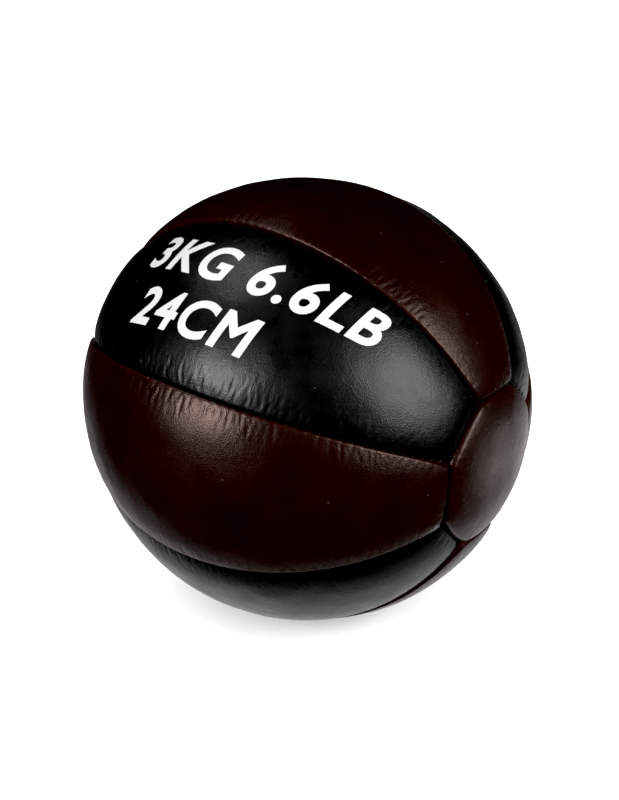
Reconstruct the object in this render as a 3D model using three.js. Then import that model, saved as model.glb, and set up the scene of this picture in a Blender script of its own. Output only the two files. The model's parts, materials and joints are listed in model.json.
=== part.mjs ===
// A stuffed leather medicine ball of about 3 kg, in millimetres.
// Eight long gores run from end cap to end cap, black and brown in turn, and two octagonal caps close
// the ends. The axis through the caps is X, and +Z is up. The origin is the ball's centre, and the ball
// rests on a small flat patch that its own weight presses. Angles are in radians: polar is measured from
// +X, and turn is measured about X, from straight up towards the front, which is -Y.
import * as THREE from "three";

const degrees = THREE.MathUtils.degToRad;

// ---- Driving dimensions ----
const HALF_SIZE = new THREE.Vector3(123.4, 122, 120.6); // at the panels' crests, along X, Y and Z
const REST_HEIGHT = 117.6; // from the centre down to the flat patch
const GORE_COUNT = 8;
const FIRST_SEAM = degrees(16.84); // the turn of the first long seam
const CAP_CORNER = degrees(20.8); // the polar angle of the caps' corners
const CAP_ROUNDNESS = 0.5; // 0 for caps with straight sides, 1 for round ones
const LEATHER = 2; // thickness
const LINING = 0.7; // thickness of the canvas behind a panel
const CLEARANCE = 0.5; // between layers that lie on each other
const SEAM_GAP = 0.5; // between the two panels of a seam
const EDGE_ROLL = 3; // outer radius where a panel turns down into its seam
const SEAM_ALLOWANCE = 7; // how deep a panel's turned-in edge reaches
const PILLOW = 1.8; // how far the middle of a panel stands above its edges
const LINING_REACH = 0.93; // the share of a panel's width and length that its lining covers
const THREAD_RADIUS = 0.35;
const THREAD_DEPTH = 1.3; // from the panels' edges in to the middle of the thread
const THREAD_START = 4; // how far from a cap's corner a long seam's thread starts
const CLOSING_RADIUS = 0.45; // the waxed thread of the hand-sewn closing
const CLOSING_SIDES = 2; // how many sides of the left cap were sewn last, by hand
const LINING_DEPTH = LEATHER + 1.5 * CLEARANCE;
const STUFFING_DEPTH = LINING_DEPTH + LINING + 3 * CLEARANCE;
const STUFFING_GROOVE = SEAM_ALLOWANCE + CLEARANCE; // its depth where a seam's turned-in edges press into it
const GROOVE_HALF_WIDTH = 3;
const GROOVE_SLOPE = 4; // how far beside the groove the stuffing is up to its full size again
const POCKET = new THREE.Vector3(46, 46, 63); // half the hollow that the weight bag lies in
const POCKET_EVERY = 4; // how many of the stuffing's columns the pocket's walls join into one
const BAG_RADIUS = 40;
const BAG_HALF_LENGTH = 48; // of its body, along Z
const BAG_MIDDLE = -10; // the height of its body's middle
const BAG_CANVAS = 1.2;
const NECK_RADIUS = 8; // the bag's gathered neck
const NECK_WAIST = 5.5; // where it is tied
const NECK_TOP = 57;
const NECK_MOUTH = 1.5; // the radius that the gathers leave open
const TIE_RADIUS = 1;
const TIE_TURNS = 2.2;

// Where hand packing left the ball fuller or flatter than an even oval: a direction, by its bearing
// about Z from +X and its height above the middle, and a rise that fades out over its spread.
const LUMPS = [
  { bearing: 199, height: 25, rise: 1.4, spread: 22 },
  { bearing: 125, height: 59, rise: -0.8, spread: 14 },
  { bearing: 235, height: -29, rise: -1.0, spread: 24 },
  { bearing: 305, height: -52, rise: 1.6, spread: 24 },
];

// ---- Materials ----
const blackLeather = new THREE.MeshStandardMaterial({ color: 0x100f10, roughness: 0.42, metalness: 0 });
const brownLeather = new THREE.MeshStandardMaterial({ color: 0x3a1713, roughness: 0.45, metalness: 0 });
const liningCanvas = new THREE.MeshStandardMaterial({ color: 0xb8a888, roughness: 0.95, metalness: 0 });
const waxedThread = new THREE.MeshStandardMaterial({ color: 0x2a1c14, roughness: 0.7, metalness: 0 });
const packedTextile = new THREE.MeshStandardMaterial({ color: 0x8d8a84, roughness: 1, metalness: 0 });
const bagCanvas = new THREE.MeshStandardMaterial({ color: 0xa8966f, roughness: 0.95, metalness: 0 });
const tieCord = new THREE.MeshStandardMaterial({ color: 0xd8d2c0, roughness: 0.9, metalness: 0 });
const ironGrit = new THREE.MeshStandardMaterial({ color: 0x4a4642, roughness: 0.8, metalness: 0.3 });

const GORE_TURN = (2 * Math.PI) / GORE_COUNT;
const HALF_GORE = GORE_TURN / 2;
const MEAN_RADIUS = (HALF_SIZE.x + HALF_SIZE.y + HALF_SIZE.z) / 3 - PILLOW;

// ---- The ball's own shape ----

function direction(polar, turn) {
  const reach = Math.sin(polar);
  return new THREE.Vector3(Math.cos(polar), -reach * Math.sin(turn), reach * Math.cos(turn));
}

function lumpRise(towards) {
  let rise = 0;
  for (const lump of LUMPS) {
    const bearing = degrees(lump.bearing);
    const height = degrees(lump.height);
    const level = Math.cos(height);
    const [x, y] = [level * Math.cos(bearing), level * Math.sin(bearing)];
    const peak = new THREE.Vector3(x, y, Math.sin(height));
    const away = towards.angleTo(peak) / degrees(lump.spread);
    rise += lump.rise * Math.exp((-away * away) / 2);
  }
  return rise;
}

// A point at a depth under the leather's outer face. swell is 1 in the middle of a panel and 0 at its edges.
function ballPoint(polar, turn, depth, swell) {
  const towards = direction(polar, turn);
  const crest = 1 / towards.clone().divide(HALF_SIZE).length() + lumpRise(towards);
  const point = towards.multiplyScalar(crest - PILLOW * (1 - swell) - depth);
  point.z = Math.max(point.z, depth - REST_HEIGHT);
  return point;
}

// The polar angle of a cap's edge at a turn, which lies between a straight side's and a circle's.
function capEdge(turn) {
  const fromSeam = THREE.MathUtils.euclideanModulo(turn - FIRST_SEAM, GORE_TURN);
  const reach = Math.tan(CAP_CORNER) * Math.cos(HALF_GORE);
  const straight = Math.atan(reach / Math.cos(fromSeam - HALF_GORE));
  return THREE.MathUtils.lerp(straight, CAP_CORNER, CAP_ROUNDNESS);
}

// ---- Closed bodies from grids of points ----

// A closed body from an outer and an inner grid of points, joined round their borders. A grid that wraps
// is joined along its first and last columns. Points that coincide become one, and faces that shrink to
// nothing are left out.
function closedBody(outer, inner, wraps) {
  const positions = [];
  const faces = [];
  const known = new Map();

  function numberOf(point) {
    const key = point.toArray().map((value) => value.toFixed(3)).join();
    if (!known.has(key)) {
      known.set(key, known.size);
      positions.push(...point.toArray());
    }
    return known.get(key);
  }

  function addTriangle(...corners) {
    const numbers = corners.map(numberOf);
    if (new Set(numbers).size === 3) faces.push(...numbers);
  }

  function addQuad(a, b, c, d) {
    addTriangle(a, b, c);
    addTriangle(a, c, d);
  }

  const columns = outer.length;
  const lastRow = outer[0].length - 1;
  for (let i = 0; i < (wraps ? columns : columns - 1); i++) {
    const next = (i + 1) % columns;
    for (let j = 0; j < lastRow; j++) {
      addQuad(outer[i][j], outer[next][j], outer[next][j + 1], outer[i][j + 1]);
      addQuad(inner[i][j], inner[i][j + 1], inner[next][j + 1], inner[next][j]);
    }
    addQuad(outer[next][0], outer[i][0], inner[i][0], inner[next][0]);
    addQuad(outer[i][lastRow], outer[next][lastRow], inner[next][lastRow], inner[i][lastRow]);
  }
  for (let j = 0; !wraps && j < lastRow; j++) {
    const [near, nearInner] = [outer[0], inner[0]];
    const [far, farInner] = [outer[columns - 1], inner[columns - 1]];
    addQuad(near[j], near[j + 1], nearInner[j + 1], nearInner[j]);
    addQuad(far[j + 1], far[j], farInner[j], farInner[j + 1]);
  }
  if (signedVolume(positions, faces) < 0) faces.reverse();
  const geometry = new THREE.BufferGeometry();
  geometry.setAttribute("position", new THREE.Float32BufferAttribute(positions, 3));
  geometry.setIndex(faces);
  geometry.computeVertexNormals();
  return geometry;
}

function signedVolume(positions, faces) {
  let volume = 0;
  for (let i = 0; i < faces.length; i += 3) {
    const corners = faces.slice(i, i + 3);
    const [a, b, c] = corners.map((corner) => new THREE.Vector3().fromArray(positions, 3 * corner));
    volume += a.dot(b.cross(c)) / 6;
  }
  return volume;
}

// Rows and columns of points: place is called with each pair of stations.
function grid(across, along, place) {
  return across.map((station) => along.map((other) => place(station, other)));
}

// ---- Leather panels ----

// The turned-in edge of a panel, from the bottom of its seam allowance up to the crest of its roll. Each
// station holds its inset from the seam's middle and its depth, for the leather's outer and inner faces.
function edgeStations() {
  const gap = SEAM_GAP / 2;
  const innerRoll = EDGE_ROLL - LEATHER;
  const stations = [
    {
      outer: { inset: gap, depth: SEAM_ALLOWANCE },
      inner: { inset: gap + LEATHER, depth: SEAM_ALLOWANCE },
    },
  ];
  for (const angle of [0, Math.PI / 4, Math.PI / 2]) {
    const [out, up] = [Math.cos(angle), Math.sin(angle)];
    stations.push({
      outer: { inset: gap + EDGE_ROLL * (1 - out), depth: EDGE_ROLL * (1 - up) },
      inner: { inset: gap + EDGE_ROLL - innerRoll * out, depth: EDGE_ROLL - innerRoll * up },
    });
  }
  return stations;
}

// Stations from one edge of a panel (at -1) to the other (at 1), with steps between the crests of its two
// rolls. at is a station's place across the panel, and crown is the place that its swelling is taken from.
function stationsAcross(steps) {
  const edge = edgeStations();
  const crest = edge[edge.length - 1];
  const middle = [];
  for (let i = 1; i < steps; i++) middle.push({ ...crest, at: -1 + (2 * i) / steps });
  const near = edge.map((station) => ({ ...station, at: -1 }));
  const far = edge.map((station) => ({ ...station, at: 1 })).reverse();
  return [...near, ...middle, ...far].map((station) => ({ ...station, crown: station.at }));
}

// Stations from a cap's edge (at 1) to its middle (at 0).
function stationsInward(steps) {
  const inward = stationsAcross(2 * steps).slice(0, edgeStations().length + steps);
  return inward.map((station) => ({ ...station, at: -station.at, crown: -station.at }));
}

// The stations of the lining behind a panel with these ones. Its edges stop short of the panel's roll.
function liningStations(stations) {
  const crest = stations.filter((station) => station.outer.depth === 0);
  return crest.map(({ outer: { inset }, at }) => ({
    outer: { inset, depth: LINING_DEPTH },
    inner: { inset, depth: LINING_DEPTH + LINING },
    at: THREE.MathUtils.clamp(at, -LINING_REACH, LINING_REACH),
    crown: at,
  }));
}

function evenStations(from, to, steps) {
  const stations = [];
  for (let i = 0; i <= steps; i++) stations.push({ at: THREE.MathUtils.lerp(from, to, i / steps) });
  return stations;
}

// How far a place on a panel has risen from its edges to its middle.
function swellAt(across, along) {
  return (1 - across ** 4) * (1 - along ** 6);
}

function goreBody(seamTurn, across, along) {
  const middleTurn = seamTurn + HALF_GORE;

  function place(face) {
    return (side, end) => {
      let offset = side.at * HALF_GORE;
      let polar = Math.PI / 2;
      for (let pass = 0; pass < 3; pass++) {
        const reach = Math.PI / 2 - capEdge(middleTurn + offset) - end[face].inset / MEAN_RADIUS;
        polar = Math.PI / 2 - end.at * reach;
        offset = side.at * (HALF_GORE - side[face].inset / (MEAN_RADIUS * Math.sin(polar)));
      }
      const depth = Math.max(side[face].depth, end[face].depth);
      return ballPoint(polar, middleTurn + offset, depth, swellAt(side.crown, end.crown));
    };
  }

  return closedBody(grid(across, along, place("outer")), grid(across, along, place("inner")), false);
}

// end is 1 for the right cap, towards +X, and -1 for the left one.
function capBody(end, inward, sideSteps) {
  const turns = [];
  for (let i = 0; i < GORE_COUNT * sideSteps; i++) turns.push(FIRST_SEAM + (i * GORE_TURN) / sideSteps);

  function place(face) {
    return (turn, station) => {
      const polar = station.at * (capEdge(turn) - station[face].inset / MEAN_RADIUS);
      const fromX = end > 0 ? polar : Math.PI - polar;
      return ballPoint(fromX, turn, station[face].depth, swellAt(station.crown, 0));
    };
  }

  return closedBody(grid(turns, inward, place("outer")), grid(turns, inward, place("inner")), true);
}

// ---- Threads ----

function cordBody(points, radius, sides, steps) {
  const section = new THREE.Shape();
  for (let i = 0; i < sides; i++) {
    const angle = (i * 2 * Math.PI) / sides;
    const [x, y] = [radius * Math.cos(angle), radius * Math.sin(angle)];
    if (i === 0) section.moveTo(x, y);
    else section.lineTo(x, y);
  }
  section.closePath();
  const extrudePath = new THREE.CatmullRomCurve3(points);
  return new THREE.ExtrudeGeometry(section, { steps, extrudePath, bevelEnabled: false });
}

function goreSeamThread(turn) {
  const start = CAP_CORNER + THREAD_START / MEAN_RADIUS;
  const stations = evenStations(start, Math.PI - start, 14);
  const points = stations.map(({ at }) => ballPoint(at, turn, THREAD_DEPTH, 0));
  return cordBody(points, THREAD_RADIUS, 5, 18);
}

// The thread round a cap from one of its corners to another, counted in sides.
function capSeamThread(end, firstSide, sideCount, radius) {
  const margin = degrees(3);
  const from = FIRST_SEAM + firstSide * GORE_TURN + margin;
  const to = FIRST_SEAM + (firstSide + sideCount) * GORE_TURN - margin;
  const points = evenStations(from, to, sideCount * 6).map(({ at }) => {
    const polar = end > 0 ? capEdge(at) : Math.PI - capEdge(at);
    return ballPoint(polar, at, THREAD_DEPTH, 0);
  });
  return cordBody(points, radius, 5, sideCount * 5);
}

// ---- What the cover holds ----

// The stuffing's depth at a distance from the nearest seam, in millimetres.
function stuffingDepth(fromSeam) {
  const rise = THREE.MathUtils.clamp((fromSeam - GROOVE_HALF_WIDTH) / GROOVE_SLOPE, 0, 1);
  return THREE.MathUtils.lerp(STUFFING_GROOVE, STUFFING_DEPTH, rise);
}

// One half of the stuffing, split across the ball's middle. It is grooved where the seams press in. A
// column runs beside a seam or between two, and a row runs beside the cap's edge or at a polar angle. The
// pocket inside has fewer of both.
function stuffingHalf(end) {
  const groove = [GROOVE_HALF_WIDTH, GROOVE_HALF_WIDTH + GROOVE_SLOPE].map((inset) => inset / MEAN_RADIUS);
  const acrossSeam = [-groove[1], -groove[0], 0, groove[0], groove[1]];
  const betweenSeams = [0.65, 1, 1.35].map((share) => share * HALF_GORE);
  const columns = [];
  for (let gore = 0; gore < GORE_COUNT; gore++) {
    const seam = FIRST_SEAM + gore * GORE_TURN;
    for (const inset of acrossSeam) columns.push({ turn: seam, inset });
    for (const offset of betweenSeams) columns.push({ turn: seam + offset, inset: 0, swell: 1 });
  }
  const rows = [{ polar: 0, swell: 1 }];
  for (const inset of [-groove[1], -groove[0], groove[0], groove[1]]) {
    rows.push({ polar: CAP_CORNER, inset, swell: 0 });
  }
  for (const angle of [40, 56, 73, 90]) rows.push({ polar: degrees(angle), swell: 1 });

  function onSide(polar) {
    return end > 0 ? polar : Math.PI - polar;
  }

  function finish(point, row) {
    if (row === rows[rows.length - 1]) point.x = (end * CLEARANCE) / 2;
    return point;
  }

  function outerPoint(column, row) {
    const turn = column.turn + column.inset / Math.max(Math.sin(row.polar), Math.sin(CAP_CORNER));
    const besideCap = row.inset !== undefined;
    const polar = besideCap ? capEdge(turn) + row.inset : row.polar;
    const inCap = row.polar === 0 || row.inset < 0;
    const fromCapSeam = besideCap ? Math.abs(row.inset) * MEAN_RADIUS : Infinity;
    const fromGoreSeam = inCap || column.swell ? Infinity : Math.abs(column.inset) * MEAN_RADIUS;
    const swell = row.polar === 0 ? 1 : Math.min(row.swell, column.swell ?? 0);
    const depth = stuffingDepth(Math.min(fromCapSeam, fromGoreSeam));
    return finish(ballPoint(onSide(polar), turn, depth, swell), row);
  }

  function pocketPoint(column, row) {
    const group = Math.floor(columns.indexOf(column) / POCKET_EVERY);
    const towards = direction(onSide(row.polar), columns[(group + 0.5) * POCKET_EVERY].turn);
    return finish(towards.multiplyScalar(1 / towards.clone().divide(POCKET).length()), row);
  }

  return closedBody(grid(columns, rows, outerPoint), grid(columns, rows, pocketPoint), true);
}

// A body turned about Z from [radius, height] points.
function turned(profile) {
  const geometry = new THREE.LatheGeometry(profile.map(([radius, z]) => new THREE.Vector2(radius, z)), 24);
  return geometry.rotateX(Math.PI / 2);
}

// The [radius, height] points of the bag's body, shrunk by an inset, from its bottom up to its neck.
function bagProfile(inset) {
  const shoulder = Math.PI - Math.asin(NECK_RADIUS / BAG_RADIUS);
  const profile = evenStations(0, shoulder, 9).map(({ at }) => [
    (BAG_RADIUS - inset) * Math.sin(at),
    BAG_MIDDLE - (BAG_HALF_LENGTH - inset) * Math.cos(at),
  ]);
  profile[0][0] = 0;
  return profile;
}

function weightBag() {
  const outside = bagProfile(0);
  const inside = bagProfile(BAG_CANVAS);
  const neck = [
    [NECK_WAIST, tieHeight() - 2 * TIE_RADIUS],
    [NECK_WAIST, tieHeight() + 7 * TIE_RADIUS],
    [NECK_RADIUS, NECK_TOP],
    [NECK_MOUTH, NECK_TOP],
    [NECK_MOUTH, tieHeight() - 3 * TIE_RADIUS],
  ];
  return turned([...outside, ...neck, ...inside.reverse()]);
}

function tieHeight() {
  return BAG_MIDDLE + BAG_HALF_LENGTH + 3 * TIE_RADIUS;
}

function bagTie() {
  const radius = NECK_WAIST + TIE_RADIUS + CLEARANCE / 2;
  const pitch = 2 * TIE_RADIUS + CLEARANCE;
  const lowest = tieHeight() - TIE_RADIUS / 2;
  const points = evenStations(0, TIE_TURNS, 26).map(({ at }) => {
    const angle = 2 * Math.PI * at;
    return new THREE.Vector3(radius * Math.cos(angle), radius * Math.sin(angle), lowest + pitch * at);
  });
  return cordBody(points, TIE_RADIUS, 5, 30);
}

// The grit fills the bag nearly to its shoulder, with a flat top.
function weightFill() {
  const profile = bagProfile(BAG_CANVAS + CLEARANCE).slice(0, -2);
  const level = profile[profile.length - 1][1];
  return turned([...profile, [0, level]]);
}

// ---- The assembly ----
const ball = new THREE.Group();

function addPiece(name, geometry, material) {
  const mesh = new THREE.Mesh(geometry, material.clone());
  mesh.name = name;
  ball.add(mesh);
}

const acrossGore = stationsAcross(4);
const alongGore = stationsAcross(14);
const intoCap = stationsInward(3);
const acrossLining = liningStations(acrossGore);
const alongLining = liningStations(alongGore);
const intoCapLining = liningStations(intoCap);

for (let i = 0; i < GORE_COUNT; i++) {
  const turn = FIRST_SEAM + i * GORE_TURN;
  const isBlack = i % 2 === 0;
  const name = `${isBlack ? "black" : "brown"}_gore_${Math.floor(i / 2) + 1}`;
  addPiece(name, goreBody(turn, acrossGore, alongGore), isBlack ? blackLeather : brownLeather);
  addPiece(`gore_lining_${i + 1}`, goreBody(turn, acrossLining, alongLining), liningCanvas);
  addPiece(`gore_seam_thread_${i + 1}`, goreSeamThread(turn), waxedThread);
}

for (const [side, end] of [["right", 1], ["left", -1]]) {
  addPiece(`end_cap_${side}`, capBody(end, intoCap, 3), brownLeather);
  addPiece(`cap_lining_${side}`, capBody(end, intoCapLining, 3), liningCanvas);
  addPiece(`stuffing_${side}`, stuffingHalf(end), packedTextile);
}

const machineSides = GORE_COUNT - CLOSING_SIDES;
addPiece("cap_seam_thread_right", capSeamThread(1, 0, GORE_COUNT, THREAD_RADIUS), waxedThread);
addPiece("cap_seam_thread_left", capSeamThread(-1, 0, machineSides, THREAD_RADIUS), waxedThread);
addPiece("closing_stitch", capSeamThread(-1, machineSides, CLOSING_SIDES, CLOSING_RADIUS), waxedThread);
addPiece("weight_bag", weightBag(), bagCanvas);
addPiece("weight_bag_tie", bagTie(), tieCord);
addPiece("weight_fill", weightFill(), ironGrit);

export default ball;
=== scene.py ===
import json
import math

import bmesh
import bpy
import numpy as np
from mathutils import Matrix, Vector
from mathutils.bvhtree import BVHTree


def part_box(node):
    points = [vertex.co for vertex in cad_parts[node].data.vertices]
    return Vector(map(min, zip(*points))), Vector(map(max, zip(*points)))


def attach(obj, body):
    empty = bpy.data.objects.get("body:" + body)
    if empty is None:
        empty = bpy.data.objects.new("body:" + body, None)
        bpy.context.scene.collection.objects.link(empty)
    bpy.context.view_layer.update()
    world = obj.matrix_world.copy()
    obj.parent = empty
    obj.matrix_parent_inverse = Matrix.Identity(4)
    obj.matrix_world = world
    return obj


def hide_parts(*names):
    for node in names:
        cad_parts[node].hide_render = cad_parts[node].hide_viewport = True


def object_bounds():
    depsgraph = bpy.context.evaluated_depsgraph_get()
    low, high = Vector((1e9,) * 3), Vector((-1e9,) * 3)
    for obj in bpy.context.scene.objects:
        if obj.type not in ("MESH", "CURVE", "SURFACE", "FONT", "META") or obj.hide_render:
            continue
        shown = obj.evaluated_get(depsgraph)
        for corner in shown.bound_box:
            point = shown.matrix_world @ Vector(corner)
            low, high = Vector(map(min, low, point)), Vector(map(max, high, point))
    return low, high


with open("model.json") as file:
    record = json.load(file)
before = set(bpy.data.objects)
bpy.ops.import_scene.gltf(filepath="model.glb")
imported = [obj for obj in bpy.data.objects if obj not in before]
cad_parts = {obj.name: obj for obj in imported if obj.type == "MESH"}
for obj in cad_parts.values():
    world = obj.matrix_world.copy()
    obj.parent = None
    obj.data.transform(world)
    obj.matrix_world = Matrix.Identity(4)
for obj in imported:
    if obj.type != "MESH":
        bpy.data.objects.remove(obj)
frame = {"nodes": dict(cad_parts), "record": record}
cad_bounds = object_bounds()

MM = 0.001
GORE_COUNT = 8
GORE_TURN = 2 * math.pi / GORE_COUNT
HALF_GORE = GORE_TURN / 2
QUARTER = math.pi / 2

# ---- The cover's size, read from the CAD frame ----
CAD_LOW, CAD_HIGH = cad_bounds
CAP_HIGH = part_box("end_cap_right")[1]
CREST_SPARE = 0.5 * MM  # from the CAD cover's highest facets up to a smooth crest
HEIGHT_LOSS = 1.8 * MM  # from the crests down to a panel's mean height
OVAL = np.array([CAP_HIGH.x, (CAD_HIGH.y - CAD_LOW.y) / 2 + CREST_SPARE, CAD_HIGH.z + CREST_SPARE])
REST_Z = frame["record"]["mounts"][0]["pos_m"][2]
MEAN_RADIUS = float(OVAL.mean()) - HEIGHT_LOSS

# ---- The leather ----
LEATHER = 1.8 * MM
PILLOW_REACH = 8 * MM  # how far from a seam most of a panel's rise happens
END_DROP = 0.7 * MM  # how much further a gore falls away at its ends
END_REACH = 4.5 * MM
# How far a panel rises from its edges, and the radius of its edges. Brown edges stand a little prouder.
BLACK_EDGE = {"pillow": 3.2 * MM, "roll": 1.8 * MM}
BROWN_EDGE = {"pillow": 1.2 * MM, "roll": 1.0 * MM}
CAP_EDGE = {"pillow": 1.8 * MM, "roll": 2.6 * MM}
CORNER = 4 * MM  # how far the corners of a gore are rounded off
CORNER_REACH = 6 * MM
CORNER_DEPTH = 3.2 * MM  # where the corners meet, under the rounding
SEAM_GAP = 0.1 * MM  # from a panel's turned-in edge to the middle of its seam
SEAM_DEPTH = 5.5 * MM  # how deep the turned-in edge is modelled
SEAM_THREAD = 0.35 * MM  # the radius of the CAD's seam threads
BACK_INSET = 1.2 * MM  # how much further in the inner face lies than the inside of the turned-in edge
BACK_GAP = 0.6 * MM  # from the leather's underside down to the modelled inner face
STITCH_PITCH = 5.5 * MM
STITCH_PULL = 0.22 * MM  # how far a stitch pulls the edge in
STITCH_PULL_REACH = 2.4 * MM
PUCKER = 0.15 * MM  # height of the finest creases, which are too narrow for the simulation
PUCKER_REACH = 6 * MM
UNEVEN = 0.4 * MM  # broad unevenness of the stuffing
UNEVEN_REACH = 8 * MM  # it fades out this near to a seam
REST_SOFTNESS = 1 * MM  # how gently the ball's side turns into the flat patch that it rests on

# How finely the panels are meshed.
GORE_MESH = (62, 430)  # steps across and along a gore, between its rolled edges
GORE_CROWDING = 0.32  # how much the steps across crowd towards the long seams
CAP_SIDE_MESH = 44  # steps along each of a cap's eight sides
CAP_INWARD_MESH = 46  # steps from a cap's rolled edge to its middle
CAP_CROWDING = 0.25
ROLL_MESH = 11  # steps round a rolled edge
WALL_MESH = 3  # steps up the straight part of a turned-in edge
BACK_SHARES = [1, 1, 0.95, 0.87, 0.75, 0.6, 0.45, 0.3, 0.15, 0]  # the rings of an inner face

# Where hand packing left the ball fuller or flatter than an even oval, as the CAD cover has it: a direction,
# by bearing about Z from +X and height above the middle in degrees, and a rise that fades over its spread.
LUMPS = [
    {"bearing": 199, "height": 25, "rise": 1.4 * MM, "spread": 22},
    {"bearing": 125, "height": 59, "rise": -0.8 * MM, "spread": 14},
    {"bearing": 235, "height": -29, "rise": -1.0 * MM, "spread": 24},
    {"bearing": 305, "height": -52, "rise": 1.6 * MM, "spread": 24},
]

# Where a long seam gathers the leather most: the seam's number, the place along it in degrees from +X, how
# far the place reaches, and how much it adds.
GATHERS = [
    {"seam": 1, "polar": 58, "spread": 14, "strength": 0.45},
    {"seam": 2, "polar": 95, "spread": 13, "strength": 0.7},
    {"seam": 2, "polar": 45, "spread": 12, "strength": 0.35},
]

# ---- The cloth simulation ----
SETTLE_SCALE = 10  # a panel is simulated this much larger, as the solver's settings suit cloth a metre long
SETTLE_FRAMES = 20
SETTLE_PRESSURE = 3
SETTLE_STRETCH = 0.013  # how much longer than its seam the leather beside it may be
SETTLE_REACH = 7 * MM  # how far from the seam the leather is gathered
SETTLE_CAP = 1.8 * MM  # the furthest that a point may move
SETTLE_START = 0.8  # the share of a panel's rise that it starts with
SETTLE_CREASE = 0.03 * MM  # the unevenness that it starts with
TENSION, SHEAR, BENDING = 40, 13, 0.3
GORE_LATTICE = (36, 210)  # points across and along a gore
CAP_LATTICE = (168, 22)  # points round a cap, and from its edge to its middle
CAP_WAVE = 5 * MM  # shorter waves round a cap are left out, as they crowd towards its middle


# ---- Noise and small helpers ----

def lattice_values(cells, seed):
    """A fixed random value from -1 to 1 for each whole-numbered cell."""
    mixed = np.full(cells.shape[:-1], np.uint64(seed * 7919 + 12345))
    for axis, prime in enumerate((73856093, 19349663, 83492791)):
        mixed = mixed ^ (cells[..., axis].astype(np.int64).astype(np.uint64) * np.uint64(prime))
        mixed = (mixed ^ (mixed >> np.uint64(13))) * np.uint64(0x9E3779B97F4A7C15)
    mixed = mixed ^ (mixed >> np.uint64(29))
    return (mixed >> np.uint64(11)).astype(np.float64) / 2.0**52 - 1.0


def noise(points, seed):
    """Smooth noise from about -1 to 1 with features one unit wide."""
    base = np.floor(points)
    part = points - base
    fade = part * part * part * (part * (part * 6 - 15) + 10)
    total = np.zeros(points.shape[:-1])
    for corner in range(8):
        offset = np.array([corner & 1, (corner >> 1) & 1, corner >> 2])
        weight = np.prod(np.where(offset == 1, fade, 1 - fade), axis=-1)
        total += weight * lattice_values(base + offset, seed)
    return total


def smooth_max(a, b, softness):
    blend = np.maximum(softness - np.abs(a - b), 0) / softness
    return np.maximum(a, b) + blend * blend * softness / 4


def add_object(name, data):
    """A new object with this data, in the scene."""
    thing = bpy.data.objects.new(name, data)
    bpy.context.scene.collection.objects.link(thing)
    return thing


def points_of(node):
    data = frame["nodes"][node].data
    co = np.zeros(len(data.vertices) * 3)
    data.vertices.foreach_get("co", co)
    return co.reshape(-1, 3)


def polar_of(points):
    return np.arccos(points[..., 0] / np.linalg.norm(points, axis=-1))


def turn_of(points):
    return np.arctan2(-points[..., 1], points[..., 2])


# ---- The cover's pattern, read from the CAD seams ----

def seam_turn(number):
    """The turn of a long seam, where its thread crosses the ball's middle."""
    points = points_of(f"gore_seam_thread_{number}")
    middle = points[np.argsort(np.abs(points[:, 0]))[:10]]
    return float(turn_of(middle.mean(axis=0)))


FIRST_SEAM = seam_turn(1)
CAP_POLARS = polar_of(points_of("cap_seam_thread_right"))
THREAD_ANGLE = SEAM_THREAD / MEAN_RADIUS
CAP_CORNER = float(CAP_POLARS.max()) - THREAD_ANGLE
CAP_SIDE = float(CAP_POLARS.min()) + THREAD_ANGLE


def direction(polar, turn):
    return np.stack([np.cos(polar), -np.sin(polar) * np.sin(turn), np.sin(polar) * np.cos(turn)], axis=-1)


def cap_edge(turn):
    """The polar angle of a cap's edge at a turn. Its sides bow outwards from one corner to the next."""
    across = ((turn - FIRST_SEAM) % GORE_TURN) / HALF_GORE - 1
    return CAP_SIDE + (CAP_CORNER - CAP_SIDE) * across * across


def crest_radius(towards):
    """From the ball's centre to the middle height of a panel."""
    radius = 1 / np.linalg.norm(towards / OVAL, axis=-1)
    for lump in LUMPS:
        bearing, height = math.radians(lump["bearing"]), math.radians(lump["height"])
        level = math.cos(height)
        peak = np.array([level * math.cos(bearing), level * math.sin(bearing), math.sin(height)])
        away = np.arccos(np.clip(towards @ peak, -1, 1)) / math.radians(lump["spread"])
        radius += lump["rise"] * np.exp(-away * away / 2)
    return radius


def border_distances(polar, turn):
    """The distance to each of the seams round a gore: before, after, right cap and left cap."""
    across = (turn - FIRST_SEAM) % GORE_TURN
    width = MEAN_RADIUS * np.sin(polar)
    edge = cap_edge(turn)
    return [
        np.maximum(across * width, 0),
        np.maximum((GORE_TURN - across) * width, 0),
        np.maximum((polar - edge) * MEAN_RADIUS, 0),
        np.maximum((math.pi - edge - polar) * MEAN_RADIUS, 0),
    ]


def stitch_pull(along, distance):
    """How far the stitches pull a panel in, at a distance from a seam and a place along it."""
    near = 0.5 + 0.5 * np.cos(2 * math.pi * along / STITCH_PITCH)
    return STITCH_PULL * near**3 * np.exp(-distance / STITCH_PULL_REACH)


def gathering(seam, polar):
    """How hard a long seam gathers the leather at a polar angle, from 0 to 1."""
    place = np.stack([polar * 4.5, np.full_like(polar, seam * 3.7), np.zeros_like(polar)], axis=-1)
    strength = 0.3 + 0.3 * noise(place, 91)
    for spot in GATHERS:
        if spot["seam"] == seam:
            away = (np.degrees(polar) - spot["polar"]) / spot["spread"]
            strength = strength + spot["strength"] * np.exp(-away * away / 2)
    return np.clip(strength, 0.05, 1)


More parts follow.
